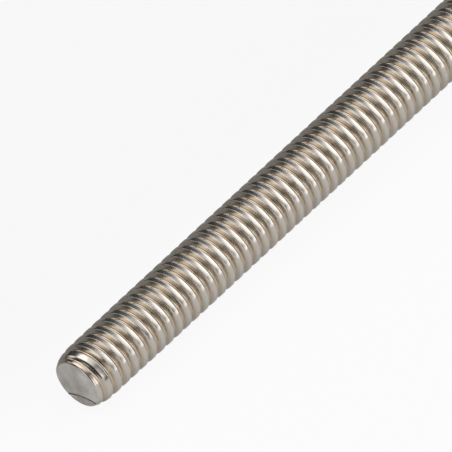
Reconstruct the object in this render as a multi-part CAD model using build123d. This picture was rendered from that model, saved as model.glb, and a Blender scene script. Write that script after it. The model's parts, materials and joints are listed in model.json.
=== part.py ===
"""Pan head machine screw, 1/4-20 UNC by 2 1/2 in, cross recessed, in stainless steel.

One solid in millimetres, lying on z = 0 as it comes to rest: on its head's rim and on the first
full crest behind the point. The shank's wall is the cylinder over the crests of the rolled thread.
"""
import os
from math import asin, atan, cos, degrees, hypot, radians, sin, sqrt, tan

from build123d import *

# Shank, measured from the bearing face under the head to the end of the point
SHANK_LENGTH = 63.5
MAJOR_DIA = 6.15
POINT_DIA = 4.95
POINT_LENGTH = 1.9
NECK_DIA = 5.45
NECK_LENGTH = 1.5
RUNOUT_LENGTH = 0.9
UNDERHEAD_FILLET = 0.4

# Pan head: its drafted side flares from the shoulder, where it would meet the dome, to the rim
HEAD_HEIGHT = 4.3
DOME_RADIUS = 10.5
SHOULDER_DIA = 11.8
SHOULDER_ROUND = 2.0
SIDE_FLARE = 0.225
HEAD_DIA = SHOULDER_DIA + 2 * SIDE_FLARE
RIM_EDGE_ROUND = 0.2

# Cross recess for a size 3 driver
RECESS_ACROSS = 7.0
RECESS_FLOOR_ACROSS = 3.81
RECESS_END_TAPER = 26.5
RECESS_WING_WIDTH = 0.95
RECESS_CORE_DIA = 2.4
RECESS_FLANK_TAPER = 5.75
RECESS_POINT_ANGLE = 138.0
CUT_OVERRUN = 0.5


def dome_height(radius):
    """How far above the bearing face the dome lies at a radius."""
    return HEAD_HEIGHT - DOME_RADIUS + sqrt(DOME_RADIUS**2 - radius**2)


def round_corner(section, radius, height, round_radius):
    """The section with its corner at a radius and a height rounded off."""
    corner = section.vertices().sort_by_distance((radius, 0, height))[0]
    return fillet(corner, round_radius)


def turned_blank():
    """The headed, necked and pointed blank, with its axis on Z and its head upwards."""
    rim_r = HEAD_DIA / 2
    neck_r = NECK_DIA / 2
    shoulder_r = SHOULDER_DIA / 2
    shoulder = (shoulder_r, 0, dome_height(shoulder_r))
    half_dome = (shoulder_r / 2, 0, dome_height(shoulder_r / 2))
    top = (0, 0, HEAD_HEIGHT)
    outline = Polyline(
        top,
        (0, 0, -SHANK_LENGTH),
        (POINT_DIA / 2, 0, -SHANK_LENGTH),
        (MAJOR_DIA / 2, 0, POINT_LENGTH - SHANK_LENGTH),
        (MAJOR_DIA / 2, 0, -NECK_LENGTH - RUNOUT_LENGTH),
        (neck_r, 0, -NECK_LENGTH),
        (neck_r, 0, 0),
        (rim_r, 0, 0),
        shoulder,
    )
    section = make_face(outline.edges() + ThreePointArc(shoulder, half_dome, top).edges())
    section = round_corner(section, shoulder_r, dome_height(shoulder_r), SHOULDER_ROUND)
    section = round_corner(section, rim_r, 0, RIM_EDGE_ROUND)
    section = round_corner(section, neck_r, 0, UNDERHEAD_FILLET)
    return revolve(section, Axis.Z)


def cross_recess():
    """Four wings that narrow downwards round a tapered core with a blunt pointed floor."""
    end_slope = tan(radians(RECESS_END_TAPER))
    flank_slope = tan(radians(RECESS_FLANK_TAPER))
    mouth_z = dome_height(RECESS_ACROSS / 2)
    floor_z = mouth_z - (RECESS_ACROSS - RECESS_FLOOR_ACROSS) / 2 / end_slope
    top_z = HEAD_HEIGHT + CUT_OVERRUN
    depth = top_z - floor_z

    floor = Rectangle(RECESS_FLOOR_ACROSS, RECESS_WING_WIDTH)
    mouth = Rectangle(RECESS_FLOOR_ACROSS + 2 * depth * end_slope, RECESS_WING_WIDTH + depth * flank_slope)
    wings = loft([Pos(0, 0, floor_z) * floor.face(), Pos(0, 0, top_z) * mouth.face()])

    core_r = RECESS_CORE_DIA / 2
    point_z = floor_z - core_r / tan(radians(RECESS_POINT_ANGLE) / 2)
    core_outline = Polyline(
        (0, 0, point_z),
        (core_r, 0, floor_z),
        (core_r + depth * flank_slope, 0, top_z),
        (0, 0, top_z),
        close=True,
    )
    core = revolve(make_face(core_outline.edges()), Axis.Z)
    return wings + Rot(0, 0, 90) * wings + core


def lay_down(screw):
    """Lays the screw along X, point at -X, on its head's rounded rim and the crest behind the point."""
    draft = atan(SIDE_FLARE / dome_height(SHOULDER_DIA / 2))
    rim_round_r = HEAD_DIA / 2 - RIM_EDGE_ROUND * (1 + sin(draft)) / cos(draft)
    rise = rim_round_r - MAJOR_DIA / 2
    crest_reach = SHANK_LENGTH - POINT_LENGTH
    run = crest_reach + RIM_EDGE_ROUND
    tilt = atan(rise / run) + asin(RIM_EDGE_ROUND / hypot(rise, run))
    bearing_height = MAJOR_DIA / 2 * cos(tilt) + crest_reach * sin(tilt)
    laid = Pos(0, 0, bearing_height) * Rot(0, 90 - degrees(tilt), 0) * screw
    return Pos(-laid.bounding_box().center().X, 0, 0) * laid


screw = lay_down(turned_blank() - cross_recess())

os.makedirs("parts", exist_ok=True)
export_step(screw, "parts/screw.step")
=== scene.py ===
import json
from math import asin, atan2, cos, exp, pi, radians, sin, sqrt, tan

import bmesh
import bpy
from mathutils import Matrix, Vector


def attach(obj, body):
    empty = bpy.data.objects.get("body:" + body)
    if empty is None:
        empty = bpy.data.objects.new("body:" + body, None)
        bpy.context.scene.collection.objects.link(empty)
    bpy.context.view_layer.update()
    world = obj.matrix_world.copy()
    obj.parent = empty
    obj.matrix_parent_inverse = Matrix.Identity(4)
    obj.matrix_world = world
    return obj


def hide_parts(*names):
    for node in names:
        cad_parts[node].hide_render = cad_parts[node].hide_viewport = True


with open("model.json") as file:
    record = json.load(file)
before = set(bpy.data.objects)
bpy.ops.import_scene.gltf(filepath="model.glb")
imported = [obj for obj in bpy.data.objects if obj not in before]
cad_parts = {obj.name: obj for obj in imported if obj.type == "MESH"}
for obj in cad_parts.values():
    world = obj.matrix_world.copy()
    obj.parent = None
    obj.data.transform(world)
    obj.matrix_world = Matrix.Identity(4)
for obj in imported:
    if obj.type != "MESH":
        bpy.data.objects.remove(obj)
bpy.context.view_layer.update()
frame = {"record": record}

# Thread: rolled into the stainless wire from the neck to the point, right-hand 1/4-20 UNC, with broad
# crests and round roots. Sizes are millimetres, on the axis Z, with the head's bearing face at 0 and
# the head upwards. One pitch of the section, from crest to crest, is wound once and then repeated.
SHANK_LENGTH = 63.5
PITCH = 1.27
CREST_RADIUS = 3.07
CREST_SHARE = 0.40
HEAD_SIDE_ROUND = 0.08
TIP_SIDE_ROUND = 0.06
CREST_SEGMENTS = 6
ROOT_ROUND = 0.23
ROOT_SEGMENTS = 8
FLANK_ANGLE = radians(30)
THREAD_TURN_SHARE = 0.12
TURN_STEPS = 64
TURNS_BELOW_END = 1.5
SPARE_TURNS = 2
ROUND_PROFILE = 0.5
MERGE = 0.002

crest_edge = CREST_SHARE * PITCH / 2
sharp_root = CREST_RADIUS - (PITCH / 2 - crest_edge) / tan(FLANK_ANGLE)
section = [
    (CREST_RADIUS, 0),
    (CREST_RADIUS, crest_edge),
    (sharp_root, PITCH / 2),
    (CREST_RADIUS, PITCH - crest_edge),
    (CREST_RADIUS, PITCH),
]
screw = bmesh.new()
corners = [screw.verts.new((radius, 0, height)) for radius, height in section]
for lower, upper in zip(corners, corners[1:]):
    screw.edges.new((lower, upper))
thread_rounds = [
    (corners[1], HEAD_SIDE_ROUND * tan(FLANK_ANGLE), CREST_SEGMENTS),
    (corners[2], ROOT_ROUND / tan(FLANK_ANGLE), ROOT_SEGMENTS),
    (corners[3], TIP_SIDE_ROUND * tan(FLANK_ANGLE), CREST_SEGMENTS),
]
for corner, reach, segments in thread_rounds:
    bmesh.ops.bevel(screw, geom=[corner], offset=reach, segments=segments, profile=ROUND_PROFILE,
                    affect="VERTICES", material=-1)
bmesh.ops.translate(screw, verts=screw.verts[:], vec=(0, 0, -SHANK_LENGTH - TURNS_BELOW_END * PITCH))
bmesh.ops.rotate(screw, verts=screw.verts[:], matrix=Matrix.Rotation(2 * pi * THREAD_TURN_SHARE, 3, "Z"))
bmesh.ops.spin(screw, geom=screw.verts[:] + screw.edges[:], cent=(0, 0, 0), axis=(0, 0, 1),
               dvec=(0, 0, PITCH / TURN_STEPS), angle=2 * pi, steps=TURN_STEPS)
turns = 1
while turns * PITCH < SHANK_LENGTH + SPARE_TURNS * PITCH:
    copy = bmesh.ops.duplicate(screw, geom=screw.verts[:] + screw.edges[:] + screw.faces[:])
    copied = [item for item in copy["geom"] if isinstance(item, bmesh.types.BMVert)]
    bmesh.ops.translate(screw, verts=copied, vec=(0, 0, turns * PITCH))
    turns *= 2
bmesh.ops.remove_doubles(screw, verts=screw.verts[:], dist=MERGE)

# Point and run-out: the blank's end was tapered before rolling, so the first turns grow out of it, and
# under the head the thread fades into the plain neck.
POINT_RADIUS = 2.475
POINT_REACH = 0.95
POINT_SOFTNESS = 0.08
POINT_TURNS = 6
NECK_RADIUS = 2.725
NECK_LENGTH = 1.5
RUNOUT_LENGTH = 1.1
# Depth below the crests over which the roots take their painted shade.
PAINTED_SHADE_DEPTH = 0.14

# The share of painted shade is 0 on the crests and 1 from its depth downwards, and the steel's colour reads
# it: the roots are painted a darker tan that stands for their shade and warm reflection.
painted_root_shade = screw.verts.layers.float.new("painted_root_shade")
for vert in screw.verts:
    radius = vert.co.xy.length
    vert[painted_root_shade] = min((CREST_RADIUS - radius) / PAINTED_SHADE_DEPTH, 1)
    held = radius
    from_end = vert.co.z + SHANK_LENGTH
    if from_end < POINT_TURNS * PITCH:
        taper = exp(-max(from_end, 0) / POINT_REACH)
        cone = CREST_RADIUS + POINT_SOFTNESS - (CREST_RADIUS + POINT_SOFTNESS - POINT_RADIUS) * taper
        held = (radius + cone - sqrt((radius - cone) ** 2 + POINT_SOFTNESS**2)) / 2
    rolled = min(max((-vert.co.z - NECK_LENGTH) / RUNOUT_LENGTH, 0), 1)
    rolled = rolled * rolled * (3 - 2 * rolled)
    held = NECK_RADIUS + (held - NECK_RADIUS) * rolled
    vert.co.xy *= held / radius

# Sheared end: the wire was cropped to length, which leaves a dull face, not quite square, with a rolled
# edge and a torn lip at its lower side.
END_SETBACK = 0.1
END_TILT = Vector((0.03, 0.02, -1)).normalized()
END_ROUND = 0.2
END_RINGS = 4
LIP_SIDE = Vector((0.961, -0.275, 0))
LIP_PLACES = (1.70, 1.71, 1.93, 1.94)
LIP_ARCH = 0.24
TEAR_DEPTH = 0.3
LIP_DROP = 0.07
LIP_CUTS = 9
CHORD_MIN = 1
FACING_SHARE = 0.7
CUT_TOLERANCE = 0.00001
THREAD_SLOT, END_SLOT, HEAD_SLOT = 0, 1, 2

end_centre = Vector((0, 0, -SHANK_LENGTH + END_SETBACK + END_ROUND))
end_depth = end_centre.dot(END_TILT)
cut = bmesh.ops.bisect_plane(screw, geom=screw.verts[:] + screw.edges[:] + screw.faces[:],
                             dist=CUT_TOLERANCE, plane_co=end_centre, plane_no=END_TILT, clear_outer=True)
ring = [item for item in cut["geom_cut"] if isinstance(item, bmesh.types.BMEdge)]
ring_verts = list(dict.fromkeys(vert for edge in ring for vert in edge.verts))
end_radius = sum(vert.co.xy.length for vert in ring_verts) / len(ring_verts)
for step in range(1, END_RINGS + 1):
    angle = pi / 2 * step / END_RINGS
    before = pi / 2 * (step - 1) / END_RINGS
    shrink = (end_radius - END_ROUND * (1 - cos(angle))) / (end_radius - END_ROUND * (1 - cos(before)))
    advance = END_TILT * END_ROUND * (sin(angle) - sin(before))
    grown = bmesh.ops.extrude_edge_only(screw, edges=ring)["geom"]
    grown_edges = [item for item in grown if isinstance(item, bmesh.types.BMEdge)]
    ring_verts = [item for item in grown if isinstance(item, bmesh.types.BMVert)]
    new_verts = set(ring_verts)
    ring = [edge for edge in grown_edges if new_verts.issuperset(edge.verts)]
    bmesh.ops.scale(screw, verts=ring_verts, vec=(shrink, shrink, 1))
    bmesh.ops.translate(screw, verts=ring_verts, vec=advance)
for face in screw.faces:
    face.material_index = THREAD_SLOT
for face in bmesh.ops.contextual_create(screw, geom=ring)["faces"]:
    face.material_index = END_SLOT


def sheared_faces():
    """The faces of the sheared end, as far as it is cut up."""
    return [face for face in screw.faces if face.material_index == END_SLOT]


for place in LIP_PLACES:
    end_lot = dict.fromkeys(item for face in sheared_faces() for item in (face, *face.verts, *face.edges))
    bmesh.ops.bisect_plane(screw, geom=list(end_lot), dist=CUT_TOLERANCE,
                           plane_co=LIP_SIDE * place, plane_no=LIP_SIDE)
chords = []
for edge in dict.fromkeys(edge for face in sheared_faces() for edge in face.edges):
    places = [vert.co.dot(LIP_SIDE) for vert in edge.verts]
    if edge.calc_length() > CHORD_MIN and abs(places[0] - places[1]) < MERGE:
        chords.append(edge)
bmesh.ops.subdivide_edges(screw, edges=chords, cuts=LIP_CUTS)
for vert in dict.fromkeys(vert for face in sheared_faces() for vert in face.verts):
    place = vert.co.dot(LIP_SIDE)
    if place > LIP_PLACES[0] - MERGE:
        along = vert.co.dot(LIP_SIDE.cross((0, 0, 1)))
        arch = LIP_ARCH * max(1 - along * along / (end_radius**2 - place**2), 0)
        torn = TEAR_DEPTH if LIP_PLACES[1] - MERGE < place < LIP_PLACES[2] + MERGE else 0
        dropped = LIP_DROP if place > LIP_PLACES[3] - MERGE else 0
        vert.co += Vector((0, 0, torn + dropped)) - LIP_SIDE * arch
# The walls and the floor of the tear take the thread's glossier and darker steel, a painted shade in the
# tear.
for face in bmesh.ops.triangulate(screw, faces=sheared_faces())["faces"]:
    face.normal_update()
    is_wall = abs(face.normal.dot(END_TILT)) < FACING_SHARE
    if is_wall or face.calc_center_median().dot(END_TILT) < end_depth:
        face.material_index = THREAD_SLOT

# Head: upset from the same wire in a die, so it is one piece with the shank. The pan form has a low
# dome, a large round at the shoulder, a drafted side and a flat bearing face with a filleted neck.
NECK_CUT = 1.2
HEAD_CUT = 0.9
HEAD_HEIGHT = 4.3
DOME_RADIUS = 10.5
DOME_SEGMENTS = 18
SHOULDER_RADIUS = 5.9
SHOULDER_ROUND = 2.0
SHOULDER_SEGMENTS = 8
RIM_RADIUS = 6.115
RIM_ROUND = 0.2
RIM_SEGMENTS = 4
UNDERHEAD_FILLET = 0.4
FILLET_SEGMENTS = 5
DOME_STOP_SHARE = 1.02
HEAD_STEPS = 96

bmesh.ops.bisect_plane(screw, geom=screw.verts[:] + screw.edges[:] + screw.faces[:],
                       dist=CUT_TOLERANCE, plane_co=(0, 0, -NECK_CUT), plane_no=(0, 0, 1), clear_outer=True)
head = bmesh.new()
dome_centre = HEAD_HEIGHT - DOME_RADIUS
shoulder_height = dome_centre + sqrt(DOME_RADIUS**2 - SHOULDER_RADIUS**2)
shoulder_slope = asin(SHOULDER_RADIUS / DOME_RADIUS)
draft = atan2(RIM_RADIUS - SHOULDER_RADIUS, shoulder_height)
shoulder_reach = SHOULDER_ROUND * tan((pi / 2 - shoulder_slope - draft) / 2)
rim_reach = RIM_ROUND * tan((pi / 2 + draft) / 2)
dome_angle = shoulder_slope - DOME_STOP_SHARE * shoulder_reach / DOME_RADIUS
top = head.verts.new((0, 0, HEAD_HEIGHT))
dome = bmesh.ops.spin(head, geom=[top], cent=(0, 0, dome_centre), axis=(0, 1, 0), dvec=(0, 0, 0),
                      angle=dome_angle, steps=DOME_SEGMENTS)
dome_foot = next(item for item in dome["geom_last"] if isinstance(item, bmesh.types.BMVert))
shoulder = head.verts.new((SHOULDER_RADIUS, 0, shoulder_height))
rim = head.verts.new((RIM_RADIUS, 0, 0))
underhead = head.verts.new((NECK_RADIUS, 0, 0))
neck = head.verts.new((NECK_RADIUS, 0, -HEAD_CUT))
neck_centre = head.verts.new((0, 0, -HEAD_CUT))
outline = [dome_foot, shoulder, rim, underhead, neck, neck_centre]
for upper, lower in zip(outline, outline[1:]):
    head.edges.new((upper, lower))
head_rounds = [
    (shoulder, shoulder_reach, SHOULDER_SEGMENTS),
    (rim, rim_reach, RIM_SEGMENTS),
    (underhead, UNDERHEAD_FILLET, FILLET_SEGMENTS),
]
for corner, reach, segments in head_rounds:
    bmesh.ops.bevel(head, geom=[corner], offset=reach, segments=segments, profile=ROUND_PROFILE,
                    affect="VERTICES", material=-1)
bmesh.ops.spin(head, geom=head.verts[:] + head.edges[:], cent=(0, 0, 0), axis=(0, 0, 1), dvec=(0, 0, 0),
               angle=2 * pi, steps=HEAD_STEPS, use_merge=True)
bmesh.ops.remove_doubles(head, verts=head.verts[:], dist=MERGE)
bmesh.ops.recalc_face_normals(head, faces=head.faces[:])

# Cross recess: struck into the dome by a punch with four tapered wings round a tapered core, whose
# floor is a blunt point. It takes a size 3 driver.
RECESS_ACROSS = 7.0
RECESS_FLOOR_ACROSS = 3.81
RECESS_END_TAPER = radians(26.5)
RECESS_WING_WIDTH = 0.95
RECESS_CORE_RADIUS = 1.2
RECESS_CORE_SIDES = 48
RECESS_FLANK_TAPER = radians(5.75)
RECESS_POINT_ANGLE = radians(138)
CUT_OVERRUN = 0.5

mouth_height = dome_centre + sqrt(DOME_RADIUS**2 - (RECESS_ACROSS / 2) ** 2)
floor_height = mouth_height - (RECESS_ACROSS - RECESS_FLOOR_ACROSS) / 2 / tan(RECESS_END_TAPER)
punch_depth = HEAD_HEIGHT + CUT_OVERRUN - floor_height
widening = punch_depth * tan(RECESS_FLANK_TAPER)
lengthening = 2 * punch_depth * tan(RECESS_END_TAPER)
punches = []
for turn in (0, pi / 2):
    wing = bmesh.new()
    bmesh.ops.create_cube(wing, size=1)
    bmesh.ops.scale(wing, verts=wing.verts[:], vec=(RECESS_FLOOR_ACROSS, RECESS_WING_WIDTH, punch_depth))
    bmesh.ops.translate(wing, verts=wing.verts[:], vec=(0, 0, floor_height + punch_depth / 2))
    mouth = [vert for vert in wing.verts if vert.co.z > HEAD_HEIGHT]
    bmesh.ops.scale(wing, verts=mouth,
                    vec=(1 + lengthening / RECESS_FLOOR_ACROSS, 1 + widening / RECESS_WING_WIDTH, 1))
    bmesh.ops.rotate(wing, verts=wing.verts[:], matrix=Matrix.Rotation(turn, 3, "Z"))
    punches.append(wing)
core = bmesh.new()
bmesh.ops.create_cone(core, cap_ends=True, segments=RECESS_CORE_SIDES, radius1=RECESS_CORE_RADIUS,
                      radius2=RECESS_CORE_RADIUS + widening, depth=punch_depth)
bmesh.ops.translate(core, verts=core.verts[:], vec=(0, 0, floor_height + punch_depth / 2))
core_floor = min(core.faces, key=lambda face: face.calc_center_median().z)
blunt_point = bmesh.ops.poke(core, faces=[core_floor])["verts"]
bmesh.ops.translate(core, verts=blunt_point, vec=(0, 0, -RECESS_CORE_RADIUS / tan(RECESS_POINT_ANGLE / 2)))
punches.append(core)

head_mesh = bpy.data.meshes.new("head_blank")
head.to_mesh(head_mesh)
blank = bpy.data.objects.new("head_blank", head_mesh)
bpy.context.scene.collection.objects.link(blank)
tools = []
for punch in punches:
    bmesh.ops.recalc_face_normals(punch, faces=punch.faces[:])
    punch_mesh = bpy.data.meshes.new("punch")
    punch.to_mesh(punch_mesh)
    tool = bpy.data.objects.new("punch", punch_mesh)
    bpy.context.scene.collection.objects.link(tool)
    tools.append(tool)
    strike = blank.modifiers.new("strike", "BOOLEAN")
    strike.operation = "DIFFERENCE"
    strike.solver = "EXACT"
    strike.object = tool
struck = bpy.data.meshes.new_from_object(blank.evaluated_get(bpy.context.evaluated_depsgraph_get()))
for used in tools + [blank]:
    bpy.data.objects.remove(used)

# Whole screw: head and shank are one piece of bright stainless steel, dull on the sheared end, with the
# thread's roots painted a darker tan as painted shade and reflection. It lies as it comes to rest, on its
# head's rim and on the first crests of its point.
# A patch or a grain is a size in metres and a detail, and a roughness goes from low to high mottle.
MILLIMETRE = 0.001
SLIVER = 0.0005
SHARP_ANGLE = radians(40)
CREST_STEEL = (0.66, 0.615, 0.56, 1)
# Roots: a darker tan, painted shade and painted warm reflection.
ROOT_STEEL_PAINTED_SHADE = (0.61, 0.52, 0.415, 1)
HEAD_STEEL = (0.64, 0.59, 0.53, 1)
HEAD_STEEL_DULL = (0.55, 0.51, 0.46, 1)
SHEARED_STEEL = (0.95, 0.91, 0.86, 1)
SHEARED_STEEL_DULL = (0.60, 0.57, 0.54, 1)
MOTTLE_LOW = 0.3
MOTTLE_HIGH = 0.7
ROLLED_ROUGHNESS = (0.18, 0.25)
ROLLED_PATCH = (0.0012, 3.0)
ROLLED_GRAIN = (0.0004, 2.0)
ROLLED_GRAIN_DEPTH = 0.0000012
SHEARED_ROUGHNESS = (0.66, 0.5)
SHEARED_PATCH = (0.0022, 4.0)
SHEARED_GRAIN = (0.0008, 5.0)
SHEARED_GRAIN_DEPTH = 0.00008
HEAD_ROUGHNESS = (0.30, 0.22)
HEAD_PATCH = (0.0015, 4.0)
HEAD_GRAIN = (0.0006, 3.0)
HEAD_GRAIN_DEPTH = 0.000006

head.clear()
head.from_mesh(struck)
bmesh.ops.dissolve_degenerate(head, dist=SLIVER, edges=head.edges[:])
neck_cap = [face for face in head.faces if all(vert.co.z < MERGE - HEAD_CUT for vert in face.verts)]
bmesh.ops.delete(head, geom=neck_cap, context="FACES")
for face in head.faces:
    face.material_index = HEAD_SLOT
head.to_mesh(struck)
screw.from_mesh(struck)
join = bmesh.ops.bridge_loops(screw, edges=[edge for edge in screw.edges if edge.is_boundary])
for face in join["faces"]:
    face.material_index = HEAD_SLOT
for face in screw.faces:
    face.smooth = True
bmesh.ops.recalc_face_normals(screw, faces=screw.faces[:])

bearing_face = next(mount for mount in frame["record"]["mounts"] if mount["name"] == "bearing_face")
bearing_centre = Vector(bearing_face["pos_m"])
towards_head = -Vector(bearing_face["axis"])
lean = Matrix.Rotation(pi / 2 - asin(towards_head.z), 4, "Y")
lay_down = Matrix.Translation(bearing_centre) @ lean @ Matrix.Scale(MILLIMETRE, 4)
bmesh.ops.transform(screw, matrix=lay_down, verts=screw.verts[:])
mesh = bpy.data.meshes.new("screw_body")
screw.to_mesh(mesh)
mesh.set_sharp_from_angle(angle=SHARP_ANGLE)
body = bpy.data.objects.new("screw_body", mesh)
bpy.context.scene.collection.objects.link(body)
flats = body.modifiers.new("flat_crests", "WEIGHTED_NORMAL")
flats.keep_sharp = True


def steel_nodes(name):
    """A new metal material, with its nodes, links and shader."""
    material = bpy.data.materials.new(name)
    material.use_nodes = True
    tree = material.node_tree
    shader = tree.nodes["Principled BSDF"]
    shader.inputs["Metallic"].default_value = 1.0
    mesh.materials.append(material)
    return tree.nodes, tree.links, shader


def mottle(nodes, links, size, detail):
    """Noise of a size in metres on Object coordinates."""
    place = nodes.new("ShaderNodeTexCoord")
    noise = nodes.new("ShaderNodeTexNoise")
    noise.inputs["Scale"].default_value = 1 / size
    noise.inputs["Detail"].default_value = detail
    links.new(place.outputs["Object"], noise.inputs["Vector"])
    return noise.outputs["Fac"]


def between(nodes, links, factor, low, high):
    """A number that goes from low to high as the factor goes from low to high mottle."""
    spread = nodes.new("ShaderNodeMapRange")
    spread.inputs["From Min"].default_value = MOTTLE_LOW
    spread.inputs["From Max"].default_value = MOTTLE_HIGH
    spread.inputs["To Min"].default_value = low
    spread.inputs["To Max"].default_value = high
    links.new(factor, spread.inputs["Value"])
    return spread.outputs["Result"]


def blend_colours(nodes, links, factor, low, high):
    """A colour that goes from low to high with the factor."""
    mix = nodes.new("ShaderNodeMix")
    mix.data_type = "RGBA"
    mix.inputs["A"].default_value = low
    mix.inputs["B"].default_value = high
    links.new(factor, mix.inputs["Factor"])
    return mix.outputs["Result"]


def roughen(nodes, links, shader, height, distance):
    """Bump on the shader, as deep as the distance in metres."""
    bump = nodes.new("ShaderNodeBump")
    bump.inputs["Strength"].default_value = 1.0
    bump.inputs["Distance"].default_value = distance
    links.new(height, bump.inputs["Height"])
    links.new(bump.outputs["Normal"], shader.inputs["Normal"])


def mottled_steel(name, colours, roughness, patch, grain, grain_depth):
    """Steel whose colour and roughness change together from patch to patch, with a fine grain."""
    nodes, links, shader = steel_nodes(name)
    patches = mottle(nodes, links, *patch)
    colour = blend_colours(nodes, links, between(nodes, links, patches, 0, 1), *colours)
    links.new(colour, shader.inputs["Base Color"])
    links.new(between(nodes, links, patches, *roughness), shader.inputs["Roughness"])
    roughen(nodes, links, shader, mottle(nodes, links, *grain), grain_depth)


nodes, links, shader = steel_nodes("rolled_stainless")
# The crests' steel turns into the roots' darker tan with depth: painted shade.
painted_shade_attribute = nodes.new("ShaderNodeAttribute")
painted_shade_attribute.attribute_name = "painted_root_shade"
crest_and_painted_shade_colour = blend_colours(nodes, links, painted_shade_attribute.outputs["Fac"], CREST_STEEL, ROOT_STEEL_PAINTED_SHADE)
links.new(crest_and_painted_shade_colour, shader.inputs["Base Color"])
rolled_patches = mottle(nodes, links, *ROLLED_PATCH)
links.new(between(nodes, links, rolled_patches, *ROLLED_ROUGHNESS), shader.inputs["Roughness"])
roughen(nodes, links, shader, mottle(nodes, links, *ROLLED_GRAIN), ROLLED_GRAIN_DEPTH)
mottled_steel("sheared_end", (SHEARED_STEEL_DULL, SHEARED_STEEL), SHEARED_ROUGHNESS,
              SHEARED_PATCH, SHEARED_GRAIN, SHEARED_GRAIN_DEPTH)
mottled_steel("headed_stainless", (HEAD_STEEL_DULL, HEAD_STEEL), HEAD_ROUGHNESS,
              HEAD_PATCH, HEAD_GRAIN, HEAD_GRAIN_DEPTH)

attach(body, "root")
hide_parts("screw")

# Floor: a wide sheet of pale paper, lit by the studio, painted grey on the far side of the screw as a
# painted shade that the steel reflects. The camera sees it nearly white, and it keeps the screw's soft
# shadow.
FLOOR_SIZE = 4.0
PAPER_NEAR = (0.76, 0.76, 0.76, 1)
# The far side of the paper is painted grey: painted shade, for the steel to reflect.
PAPER_PAINTED_SHADE = (0.22, 0.22, 0.22, 1)
PAINTED_SHADE_FADE = (-0.004, 0.012)
CAMERA_WHITE_SHARE = 0.92
GLOSSY_WHITE_SHARE = 0.1

floor_shape = bmesh.new()
bmesh.ops.create_grid(floor_shape, x_segments=1, y_segments=1, size=FLOOR_SIZE)
floor_mesh = bpy.data.meshes.new("floor")
floor_shape.to_mesh(floor_mesh)
floor = bpy.data.objects.new("floor", floor_mesh)
bpy.context.scene.collection.objects.link(floor)
paper = bpy.data.materials.new("white_paper")
paper.use_nodes = True
nodes, links = paper.node_tree.nodes, paper.node_tree.links
nodes.clear()
sheet = nodes.new("ShaderNodeBsdfDiffuse")
place = nodes.new("ShaderNodeTexCoord")
across = nodes.new("ShaderNodeSeparateXYZ")
links.new(place.outputs["Object"], across.inputs["Vector"])
# Across the screw the paper turns from pale to the grey of its painted shade.
fade = nodes.new("ShaderNodeMapRange")
fade.interpolation_type = "SMOOTHSTEP"
fade.inputs["From Min"].default_value = PAINTED_SHADE_FADE[0]
fade.inputs["From Max"].default_value = PAINTED_SHADE_FADE[1]
links.new(across.outputs["Y"], fade.inputs["Value"])
paper_with_painted_shade = blend_colours(nodes, links, fade.outputs["Result"], PAPER_NEAR, PAPER_PAINTED_SHADE)
links.new(paper_with_painted_shade, sheet.inputs["Color"])
white = nodes.new("ShaderNodeEmission")
path = nodes.new("ShaderNodeLightPath")
mirrored = nodes.new("ShaderNodeMath")
mirrored.operation = "MAXIMUM"
links.new(path.outputs["Is Glossy Ray"], mirrored.inputs[0])
links.new(path.outputs["Is Transmission Ray"], mirrored.inputs[1])
mirrored_share = nodes.new("ShaderNodeMath")
mirrored_share.operation = "MULTIPLY"
mirrored_share.inputs[1].default_value = GLOSSY_WHITE_SHARE
links.new(mirrored.outputs["Value"], mirrored_share.inputs[0])
white_share = nodes.new("ShaderNodeMath")
white_share.operation = "MULTIPLY_ADD"
white_share.inputs[1].default_value = CAMERA_WHITE_SHARE
links.new(path.outputs["Is Camera Ray"], white_share.inputs[0])
links.new(mirrored_share.outputs["Value"], white_share.inputs[2])
lit = nodes.new("ShaderNodeMixShader")
links.new(white_share.outputs["Value"], lit.inputs["Fac"])
links.new(sheet.outputs["BSDF"], lit.inputs[1])
links.new(white.outputs["Emission"], lit.inputs[2])
surface = nodes.new("ShaderNodeOutputMaterial")
links.new(lit.outputs["Shader"], surface.inputs["Surface"])
floor_mesh.materials.append(paper)

# Studio: a dim room, lighter overhead, with a broad window beyond the head, a softbox over the far side
# and small soft lights low round the rest. The camera sees all of it as white.
ROOM_WHITE = (1, 1, 1, 1)
ROOM_LOW = 0.04
ROOM_HIGH = 1.2
ROOM_RISE = (0.8, 1.05)
# Of each light: azimuth, elevation, the angles at which it starts to fade and ends (degrees), brightness.
WINDOW_NEAR_SIDE = (-36, -4, 21, 34, 2.0)
WINDOW_TOP = (-14, 21, 34, 46, 2.0)
WINDOW_FAR_SIDE = (3, 14, 35, 46, 2.0)
NEAR_LOW = (-98, 19, 11, 23, 1.7)
NEAR_HIGH = (-97, 42, 8, 20, 0.8)
FAR_HIGH = (104, 66, 17, 28, 1.75)
FAR_LOW = (111, 25, 7, 19, 1.1)
POINT_SIDE = (173, 12, 8, 20, 1.35)

room = bpy.data.worlds.new("room")
bpy.context.scene.world = room
room.use_nodes = True
nodes, links = room.node_tree.nodes, room.node_tree.links
place = nodes.new("ShaderNodeTexCoord")
parts = nodes.new("ShaderNodeSeparateXYZ")
links.new(place.outputs["Generated"], parts.inputs["Vector"])
rise = nodes.new("ShaderNodeMapRange")
rise.interpolation_type = "SMOOTHSTEP"
rise.inputs["From Min"].default_value = ROOM_RISE[0]
rise.inputs["From Max"].default_value = ROOM_RISE[1]
rise.inputs["To Min"].default_value = ROOM_LOW
rise.inputs["To Max"].default_value = ROOM_HIGH
links.new(parts.outputs["Z"], rise.inputs["Value"])


def brighter(first, second):
    """The larger of two brightnesses."""
    pick = nodes.new("ShaderNodeMath")
    pick.operation = "MAXIMUM"
    links.new(first, pick.inputs[0])
    links.new(second, pick.inputs[1])
    return pick.outputs["Value"]


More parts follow.
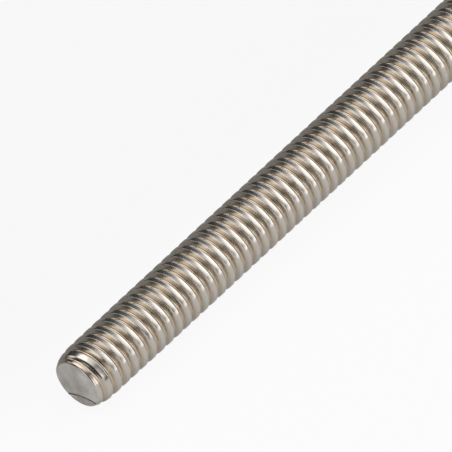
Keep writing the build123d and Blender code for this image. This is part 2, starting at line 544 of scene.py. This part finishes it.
def soft_light(azimuth, elevation, bright_angle, edge_angle, brightness):
    """A round light, even out to its bright angle and fading to its edge."""
    towards = nodes.new("ShaderNodeVectorMath")
    towards.operation = "DOT_PRODUCT"
    towards.inputs[1].default_value = (
        cos(radians(azimuth)) * cos(radians(elevation)),
        sin(radians(azimuth)) * cos(radians(elevation)),
        sin(radians(elevation)),
    )
    links.new(place.outputs["Generated"], towards.inputs[0])
    spread = nodes.new("ShaderNodeMapRange")
    spread.interpolation_type = "SMOOTHSTEP"
    spread.inputs["From Min"].default_value = cos(radians(edge_angle))
    spread.inputs["From Max"].default_value = cos(radians(bright_angle))
    spread.inputs["To Max"].default_value = brightness
    links.new(towards.outputs["Value"], spread.inputs["Value"])
    return spread.outputs["Result"]


brightest = rise.outputs["Result"]
window = (WINDOW_NEAR_SIDE, WINDOW_TOP, WINDOW_FAR_SIDE)
small_lights = (NEAR_LOW, NEAR_HIGH, FAR_HIGH, FAR_LOW, POINT_SIDE)
for light in window + small_lights:
    brightest = brighter(brightest, soft_light(*light))
path = nodes.new("ShaderNodeLightPath")
brightest = brighter(brightest, path.outputs["Is Camera Ray"])
links.new(brightest, nodes["Background"].inputs["Strength"])
nodes["Background"].inputs["Color"].default_value = ROOM_WHITE

# Camera: far off, with a long lens, above the point and on the near side, so that the shank recedes to
# the upper right and the head stays out of the frame.
VIEW_AZIMUTH = radians(-50.7)
VIEW_ELEVATION = radians(45.46)
VIEW_DISTANCE = 1.45
VIEW_CENTRE = Vector((-0.016922, -0.00408, 0.013263))
VIEW_ANGLE = radians(1.65)
VIEW_REACH = 10

level = cos(VIEW_ELEVATION)
away = Vector((sin(VIEW_AZIMUTH) * level, -cos(VIEW_AZIMUTH) * level, sin(VIEW_ELEVATION)))
lens = bpy.data.cameras.new("camera")
lens.angle = VIEW_ANGLE
lens.clip_end = VIEW_REACH
camera = bpy.data.objects.new("camera", lens)
camera.location = VIEW_CENTRE + away * VIEW_DISTANCE
camera.rotation_euler = away.to_track_quat("Z", "Y").to_euler()
bpy.context.scene.collection.objects.link(camera)
bpy.context.scene.camera = camera
bpy.context.scene.view_settings.view_transform = "Standard"
